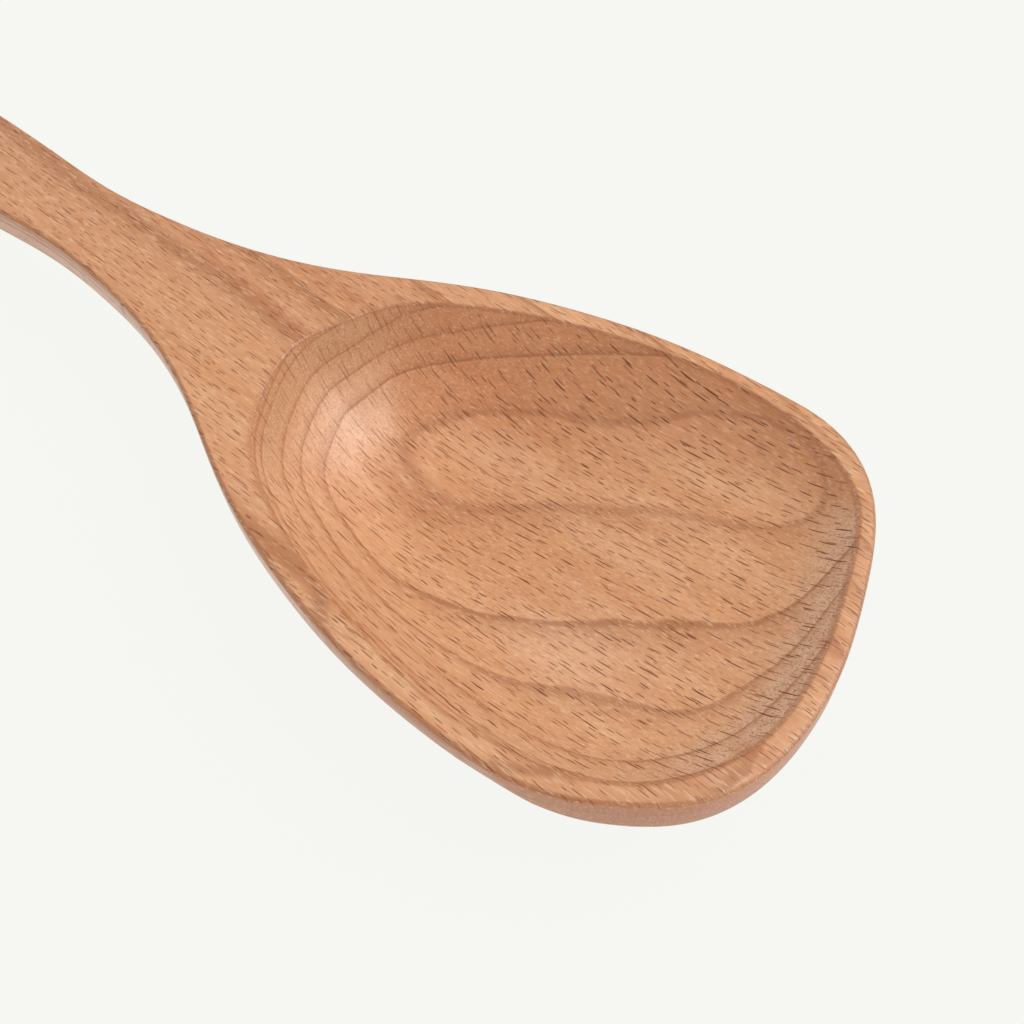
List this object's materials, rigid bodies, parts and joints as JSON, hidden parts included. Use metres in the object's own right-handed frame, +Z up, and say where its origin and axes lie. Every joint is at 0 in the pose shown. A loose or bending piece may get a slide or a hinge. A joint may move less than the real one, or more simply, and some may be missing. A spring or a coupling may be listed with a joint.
{
  "type": "wooden spoon",
  "caption": "Wooden spoon cut from one board, with a flat-topped handle and a broad scoop-shaped bowl whose front edge is nearly straight.",
  "frame": {"origin": "on the plane the spoon rests on, under the middle of its length and width", "axes": "+X along the spoon from the handle towards the front edge of the bowl, +Z up out of the bowl"},
  "size_m": [0.32, 0.0766, 0.022],
  "materials": {
    "beech": "satin"
  },
  "bodies": {
    "root": {"spoon": "beech"}
  },
  "joints": []
}
